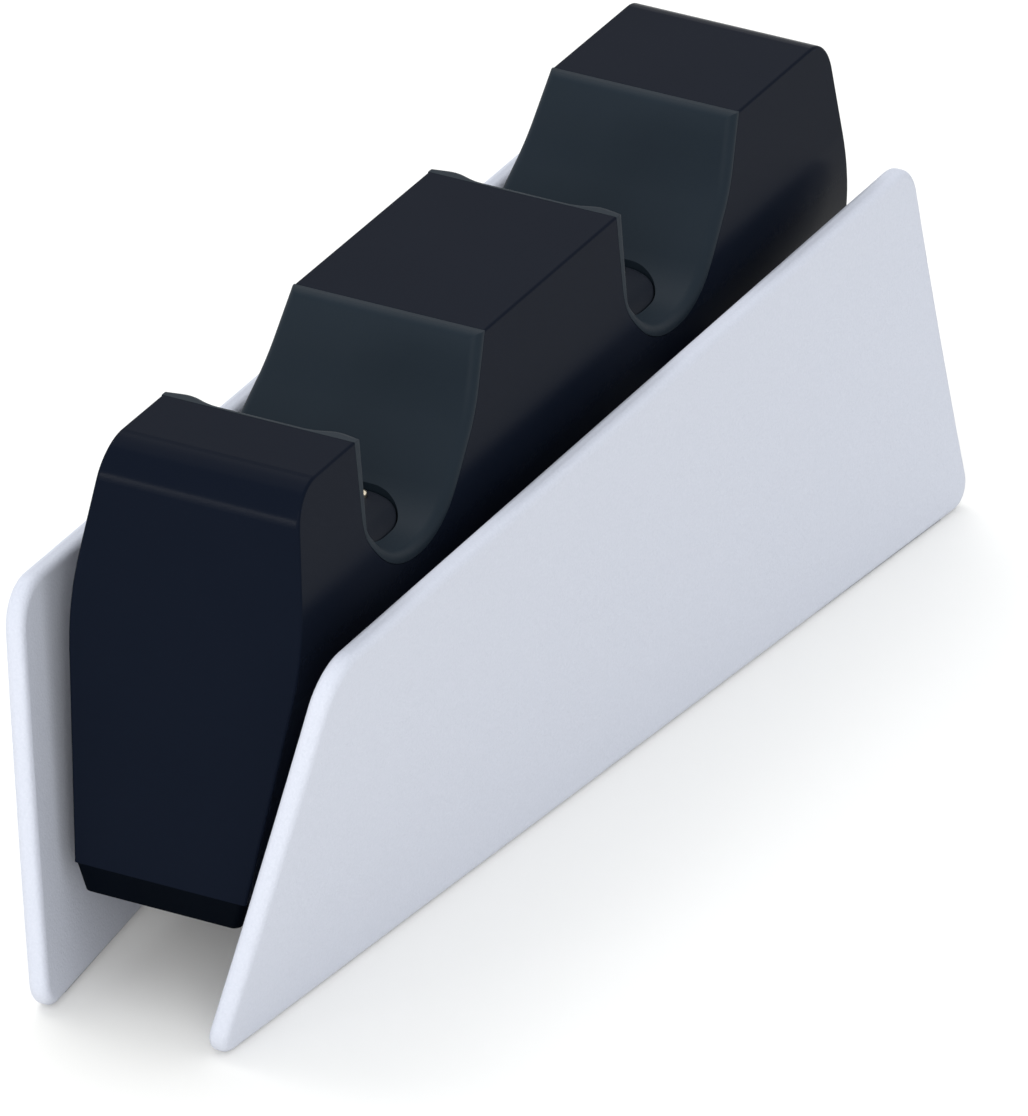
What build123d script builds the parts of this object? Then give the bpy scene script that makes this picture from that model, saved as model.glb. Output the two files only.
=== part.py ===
from build123d import *
import os
from math import atan2, cos, degrees, radians, sin, sqrt, tan

# Charging dock for two game controllers. Millimetres, +Z up, the front end towards -Y.
# The origin is on the floor, at the middle of the dock's length and width.

# Body section, seen from the front
total_height = 81.0
top_width = 30.0
knee_width = 36.7
knee_drop = 23.7
fold_width = 26.8
fold_height = 19.9
base_width = 24.2
base_clearance = 15.6
knee_radius = 54.0

# Body profile, seen from the side
front_top_y = -88.7
rear_top_y = 85.4
front_lean = 8.1
rear_lean = 9.3
top_end_radius = 6.3
edge_radius = 1.2
housing_edge_radius = 0.4
wall = 2.0

# Bays: each outline is measured back from the front edge of the block behind it
bay_rims = {"front": -29.5, "rear": 55.0}
bay_depth = 23.75
bay_front_drop = 14.4
bay_front_run = 8.5
bay_floor = 14.7
bay_floor_flat = 0.3
bay_rear_run = 13.3
bay_back_step = 5.1
bay_back_drop = 10.45
bay_front_radius = 8.0
bay_low_radius = 15.0
bay_back_radius = 20.0
web = 2.0
liner_thickness = 1.6
liner_gap = 0.1
liner_rim_radius = 1.5
swell_rise = 1.5
swell_inner = 7.8
swell_crest = 11.4
swell_outer = 17.8
swell_radius = 6.5
swell_crest_radius = 5.0

# Contact block in the floor of each bay
block_setback = 24.9
block_half_length = 12.5
block_half_width = 8.2
block_corner_radius = 6.3
block_crown_drop = 20.1
block_crown_radius = 120.0
block_end_reach = 0.8
block_end_radius = 4.0
block_edge_radius = 0.5
block_gap = 0.2
block_wall = 1.0
block_flange = 1.6
block_roof = 3.8
collar_wall = 1.5
collar_drop = 28.0

# Sprung contact pins
pin_x = 5.9
pin_y = 6.1
pin_radius = 0.6
pin_bore_gap = 0.05
pin_rise = 0.9
pin_flange_radius = 0.9
pin_flange_height = 0.6
spring_height = 2.9
spring_strip = 0.2
spring_width = 1.5
spring_reach = 2.2
spring_foot = 0.6
spring_bend = 0.5
spring_gap = 0.02

# Contact boards and their screws
contact_board_thickness = 1.2
contact_board_width = 25.0
contact_board_length = 35.0
contact_screw_y = 14.0
boss_radius = 2.7
pilot_radius = 1.2
screw_radius = 1.15
screw_head_radius = 2.1
screw_head_height = 1.5
screw_hole_radius = 1.4
screw_length = 7.0
board_screw_length = 5.5
recess_width = 0.7
recess_span = 2.4
recess_depth = 0.8

# Base cover
base_floor = 2.0
base_tuck = 0.6
lip_thickness = 1.4
lip_gap = 0.15
lip_height = 2.5
base_screw_x = 7.0
base_screw_y = {"front": -88.0, "middle": 4.0}
base_counterbore = 2.4
base_counterbore_depth = 3.0
base_boss_radius = 3.0
bulkhead = 1.6
bulkhead_bottom = 38.0
front_boss_top = 45.0
hook_x = 7.0
hook_width = 4.0
hook_height = 4.6
hook_nib = 0.9
hook_nib_height = 1.4
hook_gap = 0.2

# Main board and what stands on it
board_width = 18.0
board_front = 14.0
board_rear = 89.0
board_thickness = 1.6
board_post_height = 4.4
board_post_radius = 2.5
board_screw_x = 6.5
board_screw_y = (18.0, 72.0)
header_size = (7.5, 5.8, 6.0)
header_y = {"front": 25.0, "rear": 38.0}
header_wall = 0.8
header_depth = 3.5
chip_size = (5.0, 5.0, 1.2)
chip_y = (31.5, 44.0, 70.0)
coil_radius = 4.8
coil_height = 5.0
coil_neck = 2.2
coil_cheek = 1.0
coil_y = 52.0
winding_gap = 0.1
capacitor_radius = 3.15
capacitor_height = 8.0
capacitor_groove = 0.35
capacitor_x = 4.4
capacitor_y = 62.0
lead_width = 3.2
lead_thickness = 1.2
lead_rise = 4.4
lead_bend = 5.0

# Power jack at the rear
jack_width = 9.0
jack_height = 11.0
jack_length = 13.0
jack_axis_height = 6.5
jack_wall_gap = 0.3
jack_nose_radius = 4.4
jack_nose = 1.3
jack_bore_radius = 3.15
jack_bore_depth = 9.5
jack_pin_radius = 1.0
jack_pin_setback = 0.7
inlet_radius = 4.7

# Wings: ruled plates, level along the top and splayed along the floor
wing_thickness = 3.1
wing_top_height = 59.6
wing_top_width = 52.3
wing_foot_width_front = 29.6
wing_foot_width_rear = 66.5
wing_foot_front = -107.2
wing_foot_rear = 107.2
wing_top_front = -97.3
wing_top_rear = 94.4
wing_corner_radii = {"foot_front": 3.5, "foot_rear": 4.0, "top_front": 7.5, "top_rear": 6.0}
wing_edge_radius = 1.2
foot_rise = 0.25
strip_width = 1.2
strip_height = 1.2
strip_gap = 0.05
strip_spans = {"front": (-99.0, -62.0), "rear": (62.0, 99.0)}

# Lugs that hang the body between the wings
lug_y = (-70.0, -12.0, 60.0)
lug_height = 38.0
lug_seat_radius = 3.6
lug_neck_radius = 2.3
lug_head_radius = 3.8
lug_head_height = 1.6
lug_gap = 0.15
lug_slide = 8.0

# Worked out from the sizes above
top_half = top_width / 2
knee_half = knee_width / 2
fold_half = fold_width / 2
base_half = base_width / 2
knee_height = total_height - knee_drop
side_slope = (knee_half - fold_half) / (knee_height - fold_height)
side_lean = degrees(atan2(knee_half - fold_half, knee_height - fold_height))
board_top = base_clearance + base_floor + board_post_height + board_thickness
collar_bottom = total_height - collar_drop
contact_board_top = collar_bottom - block_flange
pin_ceiling = total_height - block_crown_drop - block_roof
pin_tail = contact_board_top + spring_height
bay_low_rear = bay_back_step + bay_rear_run
bay_low_front = bay_low_rear + bay_floor
bay_length = bay_low_front + bay_front_run
joint_height = fold_height + lip_height + 0.2
bay_names = tuple(bay_rims)
side_names = {"left": -1, "right": 1}
far = 130.0


def front_y(z):
    return front_top_y - (total_height - z) * tan(radians(front_lean))


def rear_y(z):
    return rear_top_y + (total_height - z) * tan(radians(rear_lean))


def body_half_width(z):
    return fold_half + (z - fold_height) * side_slope


def block_y(bay):
    return bay_rims[bay] - block_setback


def crown_height(x):
    drop = block_crown_radius - sqrt(block_crown_radius**2 - x**2)
    return total_height - block_crown_drop - drop


def wing_outer_x(y, z):
    # A straight line from the splayed foot to the level top edge at each y
    share = (y - wing_foot_front) / (wing_foot_rear - wing_foot_front)
    foot = wing_foot_width_front + (wing_foot_width_rear - wing_foot_width_front) * share
    rise = (wing_top_height - z) / wing_top_height
    return (wing_top_width + (foot - wing_top_width) * rise) / 2


def block_outline(grow):
    # The rounded outline of a contact block seen from above, moved out by grow
    RectangleRounded(
        2 * (block_half_length + grow), 2 * (block_half_width + grow), block_corner_radius + grow
    )


def body_block(inset, bottom):
    # The body without bays, its walls moved in by inset, from a height up to its top
    with BuildPart() as block:
        with BuildSketch(Plane.XZ) as section:
            with BuildLine():
                low = body_half_width(bottom)
                Polyline(
                    (-low, bottom),
                    (-knee_half, knee_height),
                    (-top_half, total_height),
                    (top_half, total_height),
                    (knee_half, knee_height),
                    (low, bottom),
                    close=True,
                )
            make_face()
            knees = section.vertices().sort_by(Axis.X)
            fillet([knees[0], knees[-1]], knee_radius)
            if inset:
                offset(amount=-inset, kind=Kind.INTERSECTION)
        extrude(amount=far, both=True)
        with BuildSketch(Plane.YZ) as profile:
            with BuildLine():
                Polyline(
                    (front_y(bottom), bottom),
                    (front_y(total_height), total_height),
                    (rear_y(total_height), total_height),
                    (rear_y(bottom), bottom),
                    close=True,
                )
            make_face()
            fillet(profile.vertices().sort_by(Axis.Y)[-2:], top_end_radius)
            if inset:
                offset(amount=-inset, kind=Kind.INTERSECTION)
        extrude(amount=far, both=True, mode=Mode.INTERSECT)
    return block.part


def bay_prism(bay, grow):
    # The space of one bay right across the body, its outline moved out by grow
    rim = bay_rims[bay]
    above = total_height + 10.0
    corners = {
        "front": (rim - bay_length, total_height - bay_front_drop),
        "low_front": (rim - bay_low_front, total_height - bay_depth),
        "low_rear": (rim - bay_low_rear, total_height - bay_depth),
        "back": (rim - bay_back_step, total_height - bay_back_drop),
    }
    back_slope = bay_back_step / bay_back_drop
    # The front curve takes what the rear curve and a short flat leave of the floor
    front_turn = atan2(bay_depth - bay_front_drop, bay_front_run)
    rear_turn = atan2(bay_depth - bay_back_drop, bay_rear_run)
    front_share = bay_floor - bay_floor_flat - bay_low_radius * tan(rear_turn / 2)
    radii = {
        "front": bay_front_radius,
        "low_front": front_share / tan(front_turn / 2),
        "low_rear": bay_low_radius,
        "back": bay_back_radius,
    }
    with BuildPart() as prism:
        with BuildSketch(Plane.YZ) as outline:
            with BuildLine():
                Polyline(
                    (rim - bay_length, above),
                    *corners.values(),
                    (rim + (above - total_height) * back_slope, above),
                    close=True,
                )
            make_face()
            for name, place in corners.items():
                fillet(outline.vertices().sort_by_distance(place)[0], radii[name])
            if grow:
                offset(amount=grow, kind=Kind.INTERSECTION)
        extrude(amount=far, both=True)
    return prism.part


def screws(places, way, head_z, length):
    # Pan-head screws with a cross recess, as one group: way is 1 where they point up
    with BuildPart() as group:
        for x, y in places:
            with BuildSketch(Plane.XY.offset(head_z)):
                with Locations((x, y)):
                    Circle(screw_head_radius)
            extrude(amount=-way * screw_head_height)
            with BuildSketch(Plane.XY.offset(head_z)):
                with Locations((x, y)):
                    Circle(screw_radius)
            extrude(amount=way * length)
            with BuildSketch(Plane.XY.offset(head_z - way * screw_head_height)):
                with Locations((x, y)):
                    Rectangle(recess_span, recess_width)
                    Rectangle(recess_width, recess_span)
            extrude(amount=way * recess_depth, mode=Mode.SUBTRACT)
    return group.part


def side_plane(y, z, side):
    # A plane on the outside of the body's lower side wall, its normal pointing outwards
    lean = radians(side_lean)
    return Plane(
        origin=(side * body_half_width(z), y, z),
        x_dir=(0, 1, 0),
        z_dir=(side * cos(lean), 0, -sin(lean)),
    )


def contact_screw_places(bay):
    return [(0, block_y(bay) + shift) for shift in (contact_screw_y, -contact_screw_y)]


base_screw_places = [
    (side * base_screw_x, y) for y in base_screw_y.values() for side in side_names.values()
]
board_screw_places = [
    (side * board_screw_x, y) for y in board_screw_y for side in side_names.values()
]
jack_axis = board_top + jack_axis_height
hook_top = fold_height + hook_height
hook_outer_y = rear_y(hook_top) - wall / cos(radians(rear_lean)) - hook_gap
jack_front = rear_y(board_top + jack_height) - wall / cos(radians(rear_lean)) - jack_wall_gap

os.makedirs("parts", exist_ok=True)


def finish(part, name):
    part.label = name
    export_step(part, "parts/" + name + ".step")


# Space inside the housing, less every web, boss and rib that stays standing in it
with BuildPart() as cavity:
    add(body_block(wall, fold_height - 3 * wall))
    for bay in bay_names:
        add(bay_prism(bay, web), mode=Mode.SUBTRACT)
        with BuildSketch(Plane.XY.offset(collar_bottom)):
            with Locations((0, block_y(bay))):
                block_outline(block_gap + collar_wall)
        extrude(amount=bay_depth / 2, mode=Mode.SUBTRACT)
        with BuildSketch(Plane.XY.offset(contact_board_top)):
            with Locations(*contact_screw_places(bay)):
                Circle(boss_radius)
        extrude(amount=bay_depth / 2, mode=Mode.SUBTRACT)
    with BuildSketch(Plane.XY.offset(bulkhead_bottom)):
        with Locations((0, base_screw_y["middle"])):
            Rectangle(knee_width, bulkhead)
    extrude(amount=total_height, mode=Mode.SUBTRACT)
    with BuildSketch(Plane.XY.offset(joint_height)):
        with Locations(*base_screw_places):
            Circle(base_boss_radius)
        for side in side_names.values():
            rib_end = front_y(fold_height)
            with Locations((side * base_screw_x, (base_screw_y["front"] + rib_end) / 2)):
                Rectangle(bulkhead, base_screw_y["front"] - rib_end)
    extrude(amount=front_boss_top - joint_height, mode=Mode.SUBTRACT)

# Housing: the whole black body in one moulding, open below
with BuildPart() as housing:
    add(body_block(0, fold_height))
    rims = housing.edges().filter_by(
        lambda edge: abs(edge.center().X) > top_half - 1 and edge.center().Z > fold_height + 1
    )
    rims = rims.filter_by(Axis.Y, reverse=True) + rims.filter_by(Axis.Y).group_by(Axis.Z)[-1]
    fillet(rims, housing_edge_radius)
    add(cavity.part, mode=Mode.SUBTRACT)
    for bay in bay_names:
        add(bay_prism(bay, 0), mode=Mode.SUBTRACT)
        with BuildSketch(Plane.XY.offset(collar_bottom)):
            with Locations((0, block_y(bay))):
                block_outline(block_gap)
        extrude(amount=bay_depth / 2, mode=Mode.SUBTRACT)
        with BuildSketch(Plane.XY.offset(contact_board_top)):
            with Locations(*contact_screw_places(bay)):
                Circle(pilot_radius)
        extrude(amount=screw_length, mode=Mode.SUBTRACT)
    with BuildSketch(Plane.XY.offset(joint_height)):
        with Locations(*base_screw_places):
            Circle(pilot_radius)
    extrude(amount=screw_length + 1, mode=Mode.SUBTRACT)
    # Keyhole slots for the wing lugs, wide at the bottom where the heads go in
    for side in side_names.values():
        for y in lug_y:
            with BuildSketch(side_plane(y, lug_height, side)):
                Circle(lug_neck_radius + lug_gap)
                with Locations((0, -lug_slide / 2)):
                    Rectangle(2 * (lug_neck_radius + lug_gap), lug_slide)
                with Locations((0, -lug_slide)):
                    Circle(lug_head_radius + lug_gap)
            extrude(amount=2 * wall, both=True, mode=Mode.SUBTRACT)
    # Inlet in the rear wall, and the blind pockets that the base hooks snap into
    with BuildSketch(Plane.XZ.offset(-jack_front)):
        with Locations((0, jack_axis)):
            Circle(inlet_radius)
    extrude(amount=-jack_length, mode=Mode.SUBTRACT)
    with BuildSketch(Plane.XY.offset(hook_top - hook_nib_height - hook_gap)):
        for side in side_names.values():
            with Locations((side * hook_x, hook_outer_y)):
                Rectangle(hook_width + 2 * hook_gap, 2 * (hook_nib + hook_gap))
    extrude(amount=hook_nib_height + 2 * hook_gap, mode=Mode.SUBTRACT)
finish(housing.part, "housing")

# Base cover: a shallow tray with drawn-in walls, a locating lip, posts and rear hooks
tray_front = front_y(fold_height)
tray_rear = rear_y(fold_height)
with BuildPart() as base_cover:
    for z, half, tuck in ((base_clearance, base_half, base_tuck), (fold_height, fold_half, 0)):
        with BuildSketch(Plane.XY.offset(z)):
            with Locations((0, (tray_front + tray_rear) / 2)):
                RectangleRounded(2 * half, tray_rear - tray_front - 2 * tuck, edge_radius)
    loft(ruled=True)
    lip_half = fold_half - wall / cos(radians(side_lean)) - lip_gap
    lip_front = front_y(fold_height + lip_height) + wall / cos(radians(front_lean)) + lip_gap
    lip_rear = rear_y(fold_height + lip_height) - wall / cos(radians(rear_lean)) - lip_gap
    with BuildSketch(Plane.XY.offset(base_clearance + base_floor)):
        with Locations((0, (lip_front + lip_rear) / 2)):
            Rectangle(2 * (lip_half - lip_thickness), lip_rear - lip_front - 2 * lip_thickness)
    extrude(amount=fold_height, mode=Mode.SUBTRACT)
    with BuildSketch(Plane.XY.offset(fold_height)):
        with Locations((0, (lip_front + lip_rear) / 2)):
            Rectangle(2 * lip_half, lip_rear - lip_front)
            Rectangle(
                2 * (lip_half - lip_thickness),
                lip_rear - lip_front - 2 * lip_thickness,
                mode=Mode.SUBTRACT,
            )
    extrude(amount=lip_height)
    with BuildSketch(Plane.XY.offset(base_clearance)):
        with Locations(*base_screw_places):
            Circle(base_boss_radius)
    extrude(amount=joint_height - base_clearance)
    with BuildSketch(Plane.XY.offset(base_clearance)):
        with Locations(*board_screw_places):
            Circle(board_post_radius)
    extrude(amount=base_floor + board_post_height)
    for side in side_names.values():
        with BuildSketch(Plane.XY.offset(base_clearance)):
            with Locations((side * hook_x, hook_outer_y - lip_thickness / 2)):
                Rectangle(hook_width, lip_thickness)
        extrude(amount=hook_top - base_clearance)
        with BuildSketch(Plane.XY.offset(hook_top - hook_nib_height)):
            with Locations((side * hook_x, hook_outer_y)):
                Rectangle(hook_width, 2 * hook_nib)
        extrude(amount=hook_nib_height)
    with BuildSketch(Plane.XY.offset(base_clearance)):
        with Locations(*base_screw_places):
            Circle(base_counterbore)
    extrude(amount=base_counterbore_depth, mode=Mode.SUBTRACT)
    with BuildSketch(Plane.XY.offset(base_clearance)):
        with Locations(*base_screw_places):
            Circle(screw_hole_radius)
    extrude(amount=total_height, mode=Mode.SUBTRACT)
    with BuildSketch(Plane.XY.offset(board_top)):
        with Locations(*board_screw_places):
            Circle(pilot_radius)
    extrude(amount=-board_screw_length - board_thickness / 4, mode=Mode.SUBTRACT)
finish(base_cover.part, "base_cover")
finish(
    screws(base_screw_places, 1, base_clearance + base_counterbore_depth, screw_length),
    "base_screws",
)


def bay_liner(bay):
    # A saddle pad that lines one bay, with a soft rim and two swells in its front wall
    inner = liner_gap + liner_thickness
    wall_y = bay_rims[bay] - bay_length + inner
    crest_y = wall_y + swell_rise
    with BuildPart() as hollow:
        add(bay_prism(bay, -inner))
        with BuildSketch(Plane.XY.offset(total_height - bay_depth)) as plan:
            with BuildLine():
                Polyline(
                    (0, wall_y - far),
                    (-swell_outer, wall_y),
                    (-swell_crest, crest_y),
                    (-swell_inner, wall_y),
                    (swell_inner, wall_y),
                    (swell_crest, crest_y),
                    (swell_outer, wall_y),
                    close=True,
                )
            make_face()
            for side in side_names.values():
                foot = plan.vertices().sort_by_distance((side * swell_inner, wall_y))[0]
                fillet(foot, swell_radius)
                crest = plan.vertices().sort_by_distance((side * swell_crest, crest_y))[0]
                fillet(crest, swell_crest_radius)
        extrude(amount=total_height, mode=Mode.SUBTRACT)
    with BuildPart() as liner:
        envelope = body_block(0, fold_height)
        add(envelope)
        add(bay_prism(bay, -liner_gap), mode=Mode.INTERSECT)
        add(hollow.part, mode=Mode.SUBTRACT)
        rim = []
        for edge in liner.edges():
            middle = edge.position_at(0.5)
            outside = min(face.distance_to(middle) for face in envelope.faces())
            if outside < 0.001 and hollow.part.distance_to(middle) < 0.001:
                rim.append(edge)
        fillet(rim, liner_rim_radius)
        with BuildSketch(Plane.XY.offset(collar_bottom)):
            with Locations((0, block_y(bay))):
                block_outline(block_gap)
        extrude(amount=bay_depth, mode=Mode.SUBTRACT)
    return liner.part


for bay in bay_names:
    finish(bay_liner(bay), "bay_liner_" + bay)


def contact_block(bay):
    # A rounded mound, nearly flat on top with ends that fall away, hollow below, bored for its pins
    centre = (0, block_y(bay))
    with BuildPart() as block:
        with BuildSketch(Plane.XY.offset(collar_bottom)):
            with Locations(centre):
                block_outline(0)
        extrude(amount=total_height - collar_bottom)
        side = block_half_length + block_end_reach
        with BuildSketch(Plane.XZ) as section:
            with BuildLine():
                Polyline(
                    (side, crown_height(side)),
                    (side, collar_bottom),
                    (-side, collar_bottom),
                    (-side, crown_height(side)),
                )
                ThreePointArc(
                    (-side, crown_height(side)), (0, crown_height(0)), (side, crown_height(side))
                )
            make_face()
            fillet(section.vertices().group_by(Axis.Y)[-1], block_end_radius)
        extrude(amount=far, both=True, mode=Mode.INTERSECT)
        rim = []
        for edge in block.edges():
            middle = edge.position_at(0.5)
            inside = abs(middle.X) < block_half_length - 1 and abs(middle.Y - centre[1]) < 1
            if middle.Z > pin_ceiling and not inside:
                rim.append(edge)
        fillet(rim, block_edge_radius)
        with BuildSketch(Plane.XY.offset(contact_board_top)):
            with Locations(centre):
                block_outline(block_gap + collar_wall)
        extrude(amount=block_flange)
        with BuildSketch(Plane.XY.offset(contact_board_top)):
            with Locations(centre):
                block_outline(-block_wall)
        extrude(amount=pin_ceiling - contact_board_top, mode=Mode.SUBTRACT)
        with BuildSketch(Plane.XY.offset(contact_board_top)):
            for side in side_names.values():
                with Locations((side * pin_x, block_y(bay) + pin_y)):
                    Circle(pin_radius + pin_bore_gap)
        extrude(amount=total_height, mode=Mode.SUBTRACT)
    return block.part


def contact_pin(bay, side):
    # A round-nosed plunger with a flange that stops it under the ceiling of its block
    tip = crown_height(pin_x) + pin_rise
    flange_top = pin_ceiling - pin_bore_gap
    with BuildPart() as pin:
        with BuildSketch(Plane.XY.offset(pin_tail)):
            with Locations((side * pin_x, block_y(bay) + pin_y)):
                Circle(pin_radius)
        extrude(amount=tip - pin_tail)
        fillet(pin.edges().sort_by(Axis.Z)[-1], pin_radius * 0.9)
        with BuildSketch(Plane.XY.offset(flange_top - pin_flange_height)):
            with Locations((side * pin_x, block_y(bay) + pin_y)):
                Circle(pin_flange_radius)
        extrude(amount=pin_flange_height)
    return pin.part


def contact_spring(bay, side):
    # A folded strip that stands on the contact board and lifts the pin
    low = contact_board_top + spring_strip / 2
    high = pin_tail - spring_strip / 2 - spring_gap
    bend = side * (pin_x - spring_reach)
    with BuildPart() as spring:
        with BuildSketch(Plane.XZ.offset(-(block_y(bay) + pin_y))):
            with BuildLine():
                FilletPolyline(
                    (side * (pin_x + spring_foot), low),
                    (bend, low),
                    (side * (pin_x - spring_foot), high),
                    (side * (pin_x + spring_foot), high),
                    radius=spring_bend,
                )
            trace(line_width=spring_strip)
        extrude(amount=spring_width / 2, both=True)
    return spring.part


def contact_board(bay):
    with BuildPart() as board:
        with BuildSketch(Plane.XY.offset(contact_board_top)):
            with Locations((0, block_y(bay))):
                RectangleRounded(contact_board_width, contact_board_length, edge_radius)
            with Locations(*contact_screw_places(bay)):
                Circle(screw_hole_radius, mode=Mode.SUBTRACT)
        extrude(amount=-contact_board_thickness)
    return board.part


contact_seat = contact_board_top - contact_board_thickness
for bay in bay_names:
    finish(contact_block(bay), "contact_block_" + bay)
    finish(contact_board(bay), "contact_board_" + bay)
    for name, side in side_names.items():
        finish(contact_pin(bay, side), "contact_pin_" + bay + "_" + name)
        finish(contact_spring(bay, side), "contact_spring_" + bay + "_" + name)
contact_screw_list = contact_screw_places("front") + contact_screw_places("rear")
finish(screws(contact_screw_list, 1, contact_seat, screw_length), "contact_board_screws")

# Main board and the parts that stand on it
with BuildPart() as main_board:
    with BuildSketch(Plane.XY.offset(board_top)):
        with Locations((0, (board_front + board_rear) / 2)):
            RectangleRounded(board_width, board_rear - board_front, edge_radius)
        with Locations(*board_screw_places):
            Circle(screw_hole_radius, mode=Mode.SUBTRACT)
    extrude(amount=-board_thickness)
finish(main_board.part, "main_board")
finish(screws(board_screw_places, -1, board_top, board_screw_length), "board_screws")

with BuildPart() as board_connectors:
    header_length, header_depth_y, header_height = header_size
    with BuildSketch(Plane.XY.offset(board_top)):
        with Locations(*[(0, y) for y in header_y.values()]):
            Rectangle(header_length, header_depth_y)
    extrude(amount=header_height)
    with BuildSketch(Plane.XY.offset(board_top + header_height)):
        with Locations(*[(0, y) for y in header_y.values()]):
            Rectangle(header_length - 2 * header_wall, header_depth_y - 2 * header_wall)
    extrude(amount=-header_depth, mode=Mode.SUBTRACT)
finish(board_connectors.part, "board_connectors")

with BuildPart() as board_chips:
    chip_length, chip_width, chip_height = chip_size
    with BuildSketch(Plane.XY.offset(board_top)):
        with Locations(*[(0, y) for y in chip_y]):
            Rectangle(chip_length, chip_width)
    extrude(amount=chip_height)
finish(board_chips.part, "board_chips")

with BuildPart() as coil_core:
    for z, radius, height in (
        (0, coil_radius, coil_cheek),
        (coil_cheek, coil_neck, coil_height - 2 * coil_cheek),
        (coil_height - coil_cheek, coil_radius, coil_cheek),
    ):
        with BuildSketch(Plane.XY.offset(board_top + z)):
            with Locations((0, coil_y)):
                Circle(radius)
        extrude(amount=height)
finish(coil_core.part, "coil_core")

with BuildPart() as coil_winding:
    with BuildSketch(Plane.XY.offset(board_top + coil_cheek)):
        with Locations((0, coil_y)):
            Circle(coil_radius - 4 * winding_gap)
            Circle(coil_neck + winding_gap, mode=Mode.SUBTRACT)
    extrude(amount=coil_height - 2 * coil_cheek)
finish(coil_winding.part, "coil_winding")

with BuildPart() as board_capacitors:
    with BuildSketch(Plane.XY.offset(board_top)):
        for side in side_names.values():
            with Locations((side * capacitor_x, capacitor_y)):
                Circle(capacitor_radius)
    extrude(amount=capacitor_height)
    fillet(board_capacitors.edges().group_by(Axis.Z)[-1], capacitor_groove)
    with BuildSketch(Plane.XY.offset(board_top + 2 * capacitor_groove)):
        for side in side_names.values():
            with Locations((side * capacitor_x, capacitor_y)):
                Circle(capacitor_radius)
                Circle(capacitor_radius - capacitor_groove, mode=Mode.SUBTRACT)
    extrude(amount=2 * capacitor_groove, mode=Mode.SUBTRACT)
finish(board_capacitors.part, "board_capacitors")


def lead(corners):
    # A flat two-core lead on its route in the dock's middle plane
    start, second = corners[:2]
    with BuildPart() as ribbon:
        with BuildLine(Plane.YZ) as route:
            FilletPolyline(*corners, radius=lead_bend)
        with BuildSketch(Plane.XY.offset(start[1])):
            with Locations((0, start[0])):
                Rectangle(lead_width, lead_thickness)
        sweep(path=route.line)
    return ribbon.part


header_floor = board_top + header_height - header_depth
lead_run_height = board_top + header_height + lead_rise
lead_routes = {
    "front": (
        (block_y("front"), contact_seat),
        (block_y("front"), lead_run_height),
        (header_y["front"], lead_run_height),
        (header_y["front"], header_floor),
    ),
    "rear": (
        (block_y("rear"), contact_seat),
        (block_y("rear"), lead_run_height + 1.6 * lead_bend),
        (header_y["rear"], lead_run_height),
        (header_y["rear"], header_floor),
    ),
}
for bay in bay_names:
    finish(lead(lead_routes[bay]), "lead_" + bay)

# Power jack with its centre contact
with BuildPart() as power_jack:
    with BuildSketch(Plane.XZ.offset(-jack_front)):
        with Locations((0, board_top + jack_height / 2)):
            Rectangle(jack_width, jack_height)
    extrude(amount=jack_length)
    with BuildSketch(Plane.XZ.offset(-jack_front)):
        with Locations((0, jack_axis)):
            Circle(jack_nose_radius)
    extrude(amount=-jack_nose)
    with BuildSketch(Plane.XZ.offset(-jack_front - jack_nose)):
        with Locations((0, jack_axis)):
            Circle(jack_bore_radius)
    extrude(amount=jack_bore_depth, mode=Mode.SUBTRACT)
finish(power_jack.part, "power_jack")

with BuildPart() as jack_pin:
    with BuildSketch(Plane.XZ.offset(-jack_front - jack_nose + jack_bore_depth)):
        with Locations((0, jack_axis)):
            Circle(jack_pin_radius)
    extrude(amount=-(jack_bore_depth - jack_pin_setback))
    fillet(jack_pin.edges().sort_by(Axis.Y)[-1], jack_pin_radius / 3)
finish(jack_pin.part, "jack_pin")


def strip_corners(span, grow):
    # A thin outline along the middle of the right wing's foot
    half = strip_width / 2 + grow
    corners = []
    for y, offsets in ((span[0] - grow, (-half, half)), (span[1] + grow, (half, -half))):
        middle = wing_outer_x(y, 0) - wing_thickness / 2
        corners += [(middle + shift, y) for shift in offsets]
    return corners


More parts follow.
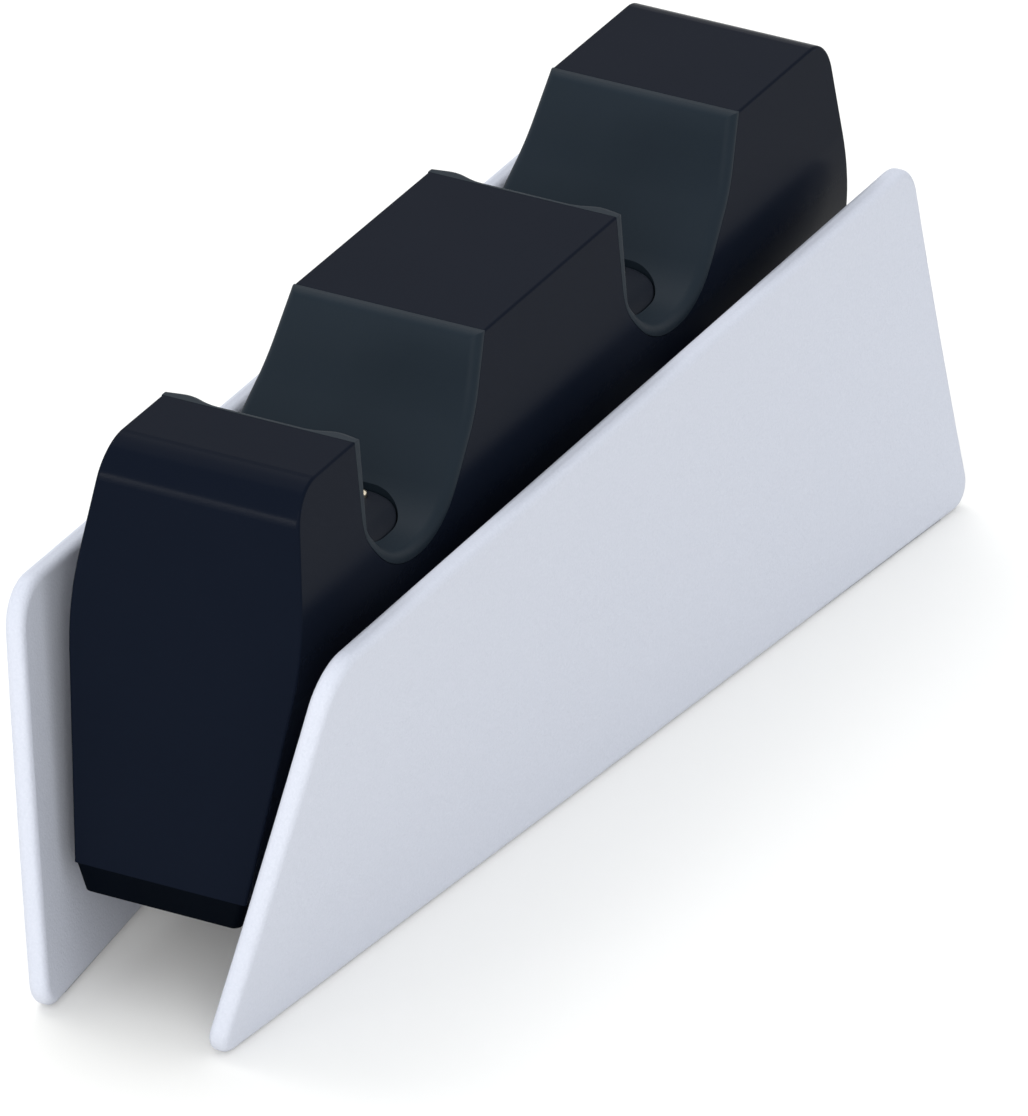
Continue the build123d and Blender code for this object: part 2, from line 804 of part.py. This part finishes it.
# Right wing: a ruled plate cut to its side outline, with lugs for the housing
with BuildPart() as wing_right:
    for z in (-wall, wing_top_height + wall):
        with BuildSketch(Plane.XY.offset(z)):
            with BuildLine():
                front_x, rear_x = wing_outer_x(-far, z), wing_outer_x(far, z)
                Polyline(
                    (front_x, -far),
                    (rear_x, far),
                    (rear_x - wing_thickness, far),
                    (front_x - wing_thickness, -far),
                    close=True,
                )
            make_face()
    loft(ruled=True)
    wing_corners = {
        "foot_front": (wing_foot_front, foot_rise),
        "foot_rear": (wing_foot_rear, foot_rise),
        "top_rear": (wing_top_rear, wing_top_height),
        "top_front": (wing_top_front, wing_top_height),
    }
    with BuildSketch(Plane.YZ) as side_outline:
        with BuildLine():
            Polyline(*wing_corners.values(), close=True)
        make_face()
        for name, place in wing_corners.items():
            corner = side_outline.vertices().sort_by_distance(place)[0]
            fillet(corner, wing_corner_radii[name])
    extrude(amount=far, mode=Mode.INTERSECT)
    fillet(
        wing_right.edges().filter_by(lambda edge: edge.length > 1.2 * wing_thickness),
        wing_edge_radius,
    )
    for y in lug_y:
        seat = side_plane(y, lug_height, 1)
        across = radians(side_lean)
        grade = wing_outer_x(y, lug_height + 1) - wing_outer_x(y, lug_height)
        gap = wing_outer_x(y, lug_height) - wing_thickness / 2 - body_half_width(lug_height)
        with BuildSketch(seat):
            Circle(lug_seat_radius)
        extrude(amount=gap / (cos(across) + grade * sin(across)))
        with BuildSketch(seat):
            Circle(lug_neck_radius)
        extrude(amount=-(wall + lug_gap))
        with BuildSketch(seat.offset(-(wall + lug_gap))):
            Circle(lug_head_radius)
        extrude(amount=-lug_head_height)
    for span in strip_spans.values():
        with BuildSketch():
            with BuildLine():
                Polyline(*strip_corners(span, strip_gap), close=True)
            make_face()
        extrude(amount=strip_height + strip_gap, mode=Mode.SUBTRACT)
finish(wing_right.part, "wing_right")

with BuildPart() as foot_strip_right:
    for span in strip_spans.values():
        with BuildSketch():
            with BuildLine():
                Polyline(*strip_corners(span, 0), close=True)
            make_face()
        extrude(amount=strip_height)
finish(foot_strip_right.part, "foot_strip_right")

for name, source in (("wing_left", wing_right), ("foot_strip_left", foot_strip_right)):
    with BuildPart() as mirrored:
        mirror(source.part, about=Plane.YZ)
    finish(mirrored.part, name)
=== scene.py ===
import bpy
from math import radians
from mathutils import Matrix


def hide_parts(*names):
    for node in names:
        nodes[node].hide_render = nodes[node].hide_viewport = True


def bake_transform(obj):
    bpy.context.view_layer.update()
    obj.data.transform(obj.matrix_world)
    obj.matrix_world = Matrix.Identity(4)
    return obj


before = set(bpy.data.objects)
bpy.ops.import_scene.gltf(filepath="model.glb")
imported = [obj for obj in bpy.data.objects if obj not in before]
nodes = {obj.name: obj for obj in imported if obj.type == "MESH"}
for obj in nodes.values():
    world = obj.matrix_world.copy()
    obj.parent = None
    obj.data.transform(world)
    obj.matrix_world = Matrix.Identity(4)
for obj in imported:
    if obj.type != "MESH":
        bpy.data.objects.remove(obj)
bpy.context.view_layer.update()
print("frame loaded:", len(nodes), "CAD nodes")


class Value:
    # A shader socket that Python's operators can work with
    def __init__(self, finish, socket):
        self.finish = finish
        self.socket = socket

    def maths(self, operation, first, second=0.0):
        return self.finish.add("ShaderNodeMath", {"operation": operation}, {0: first, 1: second})

    def __add__(self, other):
        return self.maths("ADD", self, other)

    def __radd__(self, other):
        return self.maths("ADD", other, self)

    def __mul__(self, other):
        return self.maths("MULTIPLY", self, other)

    def __rmul__(self, other):
        return self.maths("MULTIPLY", other, self)

    def largest(self, other):
        return self.maths("MAXIMUM", self, other)


class Finish:
    # One material and the nodes that make it
    def __init__(self, name):
        self.material = bpy.data.materials.new(name)
        self.material.use_nodes = True
        self.tree = self.material.node_tree
        self.tree.nodes.clear()
        self.output = self.tree.nodes.new("ShaderNodeOutputMaterial")

    def add(self, kind, settings=None, sockets=None, output=0):
        node = self.tree.nodes.new(kind)
        for name, value in (settings or {}).items():
            setattr(node, name, value)
        for name, value in (sockets or {}).items():
            if isinstance(value, Value):
                self.tree.links.new(value.socket, node.inputs[name])
            elif isinstance(value, tuple) and len(value) == 3 and node.inputs[name].type == "RGBA":
                node.inputs[name].default_value = (*value, 1)
            else:
                node.inputs[name].default_value = value
        return Value(self, node.outputs[output])

    def place(self):
        return self.add("ShaderNodeTexCoord", output="Object")

    def noise(self, perMetre, detail=2.0, roughness=0.5):
        sockets = {"Vector": self.place(), "Scale": perMetre, "Detail": detail, "Roughness": roughness}
        return self.add("ShaderNodeTexNoise", None, sockets)

    def mix(self, factor, colourA, colourB):
        settings = {"data_type": "RGBA"}
        return self.add("ShaderNodeMix", settings, {0: factor, 6: colourA, 7: colourB}, 2)

    def bump(self, height, depth, strength=1.0):
        return self.add("ShaderNodeBump", None, {"Height": height, "Distance": depth, "Strength": strength})

    def surface(self, **sockets):
        named = {name.replace("_", " "): value for name, value in sockets.items()}
        shader = self.add("ShaderNodeBsdfPrincipled", None, named)
        self.tree.links.new(shader.socket, self.output.inputs["Surface"])
        return self

    def paint(self, *names):
        for name in names:
            piece = nodes.get(name) or bpy.data.objects[name]
            piece.data.materials.clear()
            piece.data.materials.append(self.material)


# Black shell
shell = {
    "colour": (0.0043, 0.0066, 0.0130),
    "worn": (0.0051, 0.0075, 0.0144),
    "cloudPerMetre": 60,
    "roughness": 0.18,
    "roughnessSpread": 0.06,
    "specular": 0.015,
    "grainPerMetre": 2600,
    "grainDepth": 0.000006,
}


def paintShell():
    black = Finish("shellBlack")
    cloud = black.noise(shell["cloudPerMetre"], 3)
    grain = black.noise(shell["grainPerMetre"], 1)
    black.surface(
        Base_Color=black.mix(cloud, shell["colour"], shell["worn"]),
        Roughness=shell["roughness"] + cloud * shell["roughnessSpread"],
        Specular_IOR_Level=shell["specular"],
        Normal=black.bump(grain, shell["grainDepth"]),
    )
    black.paint("housing")


# Matt tray below the shell
tray = {
    "colour": (0.0005, 0.0014, 0.0032),
    "pale": (0.0008, 0.0018, 0.0040),
    "cloudPerMetre": 90,
    "roughness": 0.55,
    "roughnessSpread": 0.1,
    "specular": 0.02,
    "grainPerMetre": 1800,
    "grainDepth": 0.00001,
}


def paintTray():
    matt = Finish("trayBlack")
    cloud = matt.noise(tray["cloudPerMetre"], 3)
    grain = matt.noise(tray["grainPerMetre"], 1)
    matt.surface(
        Base_Color=matt.mix(cloud, tray["colour"], tray["pale"]),
        Roughness=tray["roughness"] + grain * tray["roughnessSpread"],
        Specular_IOR_Level=tray["specular"],
        Normal=matt.bump(grain, tray["grainDepth"]),
    )
    matt.paint("base_cover")


# White side plates
plates = {
    "colour": (0.540, 0.563, 0.630),
    "pale": (0.632, 0.650, 0.718),
    "roughness": 0.5,
    "roughnessSpread": 0.12,
    "specular": 0.2,
    "grainPerMetre": 2600,
    "grainDepth": 0.00007,
}


def paintPlates():
    white = Finish("plateWhite")
    grain = white.noise(plates["grainPerMetre"], 2)
    white.surface(
        Base_Color=white.mix(grain, plates["colour"], plates["pale"]),
        Roughness=plates["roughness"] + grain * plates["roughnessSpread"],
        Specular_IOR_Level=plates["specular"],
        Normal=white.bump(grain, plates["grainDepth"]),
    )
    white.paint("wing_left", "wing_right")


# Pads that line the bays
pads = {
    "colour": (0.0100, 0.0165, 0.0235),
    "pale": (0.0130, 0.0200, 0.0280),
    "cloudPerMetre": 70,
    "roughness": 0.46,
    "roughnessSpread": 0.08,
    "specular": 0.08,
    "grainPerMetre": 2200,
    "grainDepth": 0.000012,
}


def paintPads():
    grey = Finish("padGrey")
    cloud = grey.noise(pads["cloudPerMetre"], 3)
    grain = grey.noise(pads["grainPerMetre"], 1)
    grey.surface(
        Base_Color=grey.mix(cloud, pads["colour"], pads["pale"]),
        Roughness=pads["roughness"] + grain * pads["roughnessSpread"],
        Specular_IOR_Level=pads["specular"],
        Normal=grey.bump(grain, pads["grainDepth"]),
    )
    grey.paint("bay_liner_front", "bay_liner_rear")


# Rounded mounds that carry the pins
mounds = {
    "colour": (0.0085, 0.0110, 0.0165),
    "pale": (0.0115, 0.0140, 0.0205),
    "cloudPerMetre": 120,
    "roughness": 0.40,
    "roughnessSpread": 0.08,
    "specular": 0.08,
    "grainPerMetre": 2400,
    "grainDepth": 0.00001,
}


def paintMounds():
    grey = Finish("moundGrey")
    cloud = grey.noise(mounds["cloudPerMetre"], 3)
    grain = grey.noise(mounds["grainPerMetre"], 1)
    grey.surface(
        Base_Color=grey.mix(cloud, mounds["colour"], mounds["pale"]),
        Roughness=mounds["roughness"] + grain * mounds["roughnessSpread"],
        Specular_IOR_Level=mounds["specular"],
        Normal=grey.bump(grain, mounds["grainDepth"]),
    )
    grey.paint("contact_block_front", "contact_block_rear")


# Plated contacts
gold = {
    "colour": (0.83, 0.75, 0.60),
    "dull": (0.66, 0.58, 0.43),
    "cloudPerMetre": 900,
    "roughness": 0.18,
    "roughnessSpread": 0.15,
}


def paintGold():
    plated = Finish("platedGold")
    cloud = plated.noise(gold["cloudPerMetre"], 3)
    plated.surface(
        Base_Color=plated.mix(cloud, gold["colour"], gold["dull"]),
        Metallic=1.0,
        Roughness=gold["roughness"] + cloud * gold["roughnessSpread"],
    )
    plated.paint("jack_pin", *[name for name in nodes if name.startswith("contact_pin")])


# Small metal parts inside: the two tones of each, and how its nodes' names start or end
metals = {
    "springSteel": {"colour": (0.50, 0.50, 0.52), "dark": (0.36, 0.36, 0.38), "start": "contact_spring"},
    "zincScrew": {"colour": (0.42, 0.43, 0.45), "dark": (0.26, 0.27, 0.29), "end": "screws"},
    "capacitorCan": {"colour": (0.58, 0.60, 0.64), "dark": (0.42, 0.44, 0.48), "end": "capacitors"},
}
brushing = {
    "perMetre": 1400,
    "detail": 4,
    "fineness": 0.7,
    "roughness": 0.25,
    "roughnessSpread": 0.25,
    "depth": 0.000008,
}


def paintMetals():
    for name, metal in metals.items():
        bright = Finish(name)
        scratches = bright.noise(brushing["perMetre"], brushing["detail"], brushing["fineness"])
        bright.surface(
            Base_Color=bright.mix(scratches, metal["colour"], metal["dark"]),
            Metallic=1.0,
            Roughness=brushing["roughness"] + scratches * brushing["roughnessSpread"],
            Normal=bright.bump(scratches, brushing["depth"]),
        )
        chosen = [node for node in nodes if node.startswith(metal.get("start", "?"))]
        chosen += [node for node in nodes if node.endswith(metal.get("end", "?"))]
        bright.paint(*chosen)


# Copper winding, its turns as fine ridges round the drum, with painted shade in the grooves between them
winding = {
    "colour": (0.55, 0.20, 0.07),
    "dark": (0.25, 0.08, 0.03),
    "wavesPerMetre": 2500 / 6.28,
    "metallic": 0.8,
    "roughness": 0.35,
    "roughnessSpread": 0.1,
    "ridgeDepth": 0.0001,
}


def paintWinding():
    copper = Finish("copperWinding")
    sockets = {"Vector": copper.place(), "Scale": winding["wavesPerMetre"]}
    turns = copper.add("ShaderNodeTexWave", {"bands_direction": "Z"}, sockets, "Fac")
    copper.surface(
        # The grooves between the turns take the dark tone: painted shade
        Base_Color=copper.mix(turns, winding["dark"], winding["colour"]),
        Metallic=winding["metallic"],
        Roughness=winding["roughness"] + turns * winding["roughnessSpread"],
        Normal=copper.bump(turns, winding["ridgeDepth"]),
    )
    copper.paint("coil_winding")


# Moulded and coated parts inside: two close tones, roughness and nodes of each, and one speckle for all
mouldings = {
    "boardGreen": {"tones": ((0.012, 0.085, 0.040), (0.020, 0.120, 0.055)), "roughness": 0.35,
                   "nodes": ("main_board", "contact_board_front", "contact_board_rear")},
    "headerNylon": {"tones": ((0.62, 0.60, 0.50), (0.70, 0.68, 0.58)), "roughness": 0.45,
                    "nodes": ("board_connectors",)},
    "chipEpoxy": {"tones": ((0.010, 0.010, 0.010), (0.022, 0.022, 0.022)), "roughness": 0.55,
                  "nodes": ("board_chips",)},
    "ferrite": {"tones": ((0.030, 0.030, 0.032), (0.050, 0.050, 0.052)), "roughness": 0.62,
                "nodes": ("coil_core",)},
    "jackBlack": {"tones": ((0.008, 0.008, 0.009), (0.014, 0.014, 0.015)), "roughness": 0.38,
                  "nodes": ("power_jack",)},
    "leadSheath": {"tones": ((0.045, 0.045, 0.050), (0.065, 0.065, 0.070)), "roughness": 0.50,
                   "nodes": ("lead_front", "lead_rear")},
    "footRubber": {"tones": ((0.20, 0.21, 0.23), (0.26, 0.27, 0.29)), "roughness": 0.75,
                   "nodes": ("foot_strip_left", "foot_strip_right")},
}
speckles = {"perMetre": 1300, "roughnessSpread": 0.12, "depth": 0.00001}


def paintMouldings():
    for name, moulding in mouldings.items():
        moulded = Finish(name)
        speckle = moulded.noise(speckles["perMetre"], 3)
        moulded.surface(
            Base_Color=moulded.mix(speckle, *moulding["tones"]),
            Roughness=moulding["roughness"] + speckle * speckles["roughnessSpread"],
            Normal=moulded.bump(speckle, speckles["depth"]),
        )
        moulded.paint(*moulding["nodes"])


for paint in (paintShell, paintTray, paintPlates, paintPads, paintMounds, paintGold, paintMetals,
              paintWinding, paintMouldings):
    paint()
print("finishes painted")

# Leaf springs under the pins: each is copied to a new piece with its doubled points merged, and its CAD
# node is hidden
leaves = {"strip": 0.0002, "mergeWithin": 0.000001}


def bendLeaves():
    for name in [name for name in nodes if name.startswith("contact_spring")]:
        leaf = bpy.data.objects.new(name.replace("contact_spring", "leaf"), nodes[name].data.copy())
        bpy.context.collection.objects.link(leaf)
        bpy.ops.object.select_all(action="DESELECT")
        leaf.select_set(True)
        bpy.context.view_layer.objects.active = leaf
        bpy.ops.object.mode_set(mode="EDIT")
        bpy.ops.mesh.select_all(action="SELECT")
        bpy.ops.mesh.remove_doubles(threshold=leaves["mergeWithin"])
        bpy.ops.object.mode_set(mode="OBJECT")
        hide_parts(name)
        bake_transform(leaf)


bendLeaves()

# Studio: a white floor that keeps the shadow, soft light all round, two large lamps and
# a small one whose reflection runs along the front block's rounded edge
studio = {
    "floorWidth": 12.0,
    "floorColour": (0.895, 0.880, 0.845),
    "floorGlow": 0.09,
    "skyColour": (0.93, 0.96, 1.0),
    "skyStrength": 0.92,
    "lamps": {
        "highLamp": {"place": (-0.9, 0.5, 1.6), "size": (1.4, 1.4), "power": 12.0},
        "frontLamp": {"place": (0.9, -2.1, 0.78), "size": (1.4, 1.4), "power": 21.0},
        "edgeLamp": {"place": (-0.87, -2.06, 0.2), "size": (0.4, 0.14), "power": 6.0},
    },
}


def seenDirectly(maker):
    # 1 for rays from the camera, a gloss or a clear material, which see the plain background
    path = maker.add("ShaderNodeLightPath", output="Is Camera Ray")
    sockets = path.socket.node.outputs
    glossy = Value(maker, sockets["Is Glossy Ray"])
    clear = Value(maker, sockets["Is Transmission Ray"])
    return path.largest(glossy).largest(clear)


def buildStudio():
    bpy.ops.object.select_all(action="DESELECT")
    bpy.ops.mesh.primitive_plane_add(size=studio["floorWidth"], location=(0, 0, 0))
    floor = bpy.context.object
    floor.name = "floor"
    pale = Finish("floorPale")
    shade = pale.add("ShaderNodeBsdfDiffuse", None, {"Color": studio["floorColour"]})
    glow = pale.add("ShaderNodeEmission", None, {"Strength": seenDirectly(pale) * studio["floorGlow"]})
    both = pale.add("ShaderNodeAddShader", None, {0: shade, 1: glow})
    pale.tree.links.new(both.socket, pale.output.inputs["Surface"])
    floor.data.materials.append(pale.material)

    world = bpy.data.worlds.new("studioWorld")
    bpy.context.scene.world = world
    world.use_nodes = True
    sky = Finish.__new__(Finish)  # the same node maker, on the world's own tree
    sky.tree = world.node_tree
    sky.tree.nodes.clear()
    soft = sky.add("ShaderNodeBackground", None,
                   {"Color": studio["skyColour"], "Strength": studio["skyStrength"]})
    plain = sky.add("ShaderNodeBackground", None, {"Color": (1.0, 1.0, 1.0), "Strength": 1.0})
    chosen = sky.add("ShaderNodeMixShader", None, {0: seenDirectly(sky), 1: soft, 2: plain})
    end = sky.tree.nodes.new("ShaderNodeOutputWorld")
    sky.tree.links.new(chosen.socket, end.inputs["Surface"])

    for name, settings in studio["lamps"].items():
        bpy.ops.object.light_add(type="AREA", location=settings["place"])
        lamp = bpy.context.object
        lamp.name = name
        lamp.data.shape = "RECTANGLE"
        lamp.data.size, lamp.data.size_y = settings["size"]
        lamp.data.energy = settings["power"]
        lamp.rotation_euler = lamp.location.to_track_quat("Z", "Y").to_euler()
    print("studio built")


# Camera, fitted to the photograph
view = {
    "place": (0.86408, -1.86285, 1.05344),
    "turn": (63.46232, -2.20069, 25.79521),
    "lens": 513.795,
}


def placeCamera():
    turn = tuple(radians(angle) for angle in view["turn"])
    bpy.ops.object.camera_add(location=view["place"], rotation=turn)
    camera = bpy.context.object
    camera.name = "photoCamera"
    camera.data.lens = view["lens"]
    camera.data.clip_end = 50
    bpy.context.scene.camera = camera
    print("camera placed")


buildStudio()
placeCamera()
bpy.context.scene.view_settings.view_transform = "Standard"
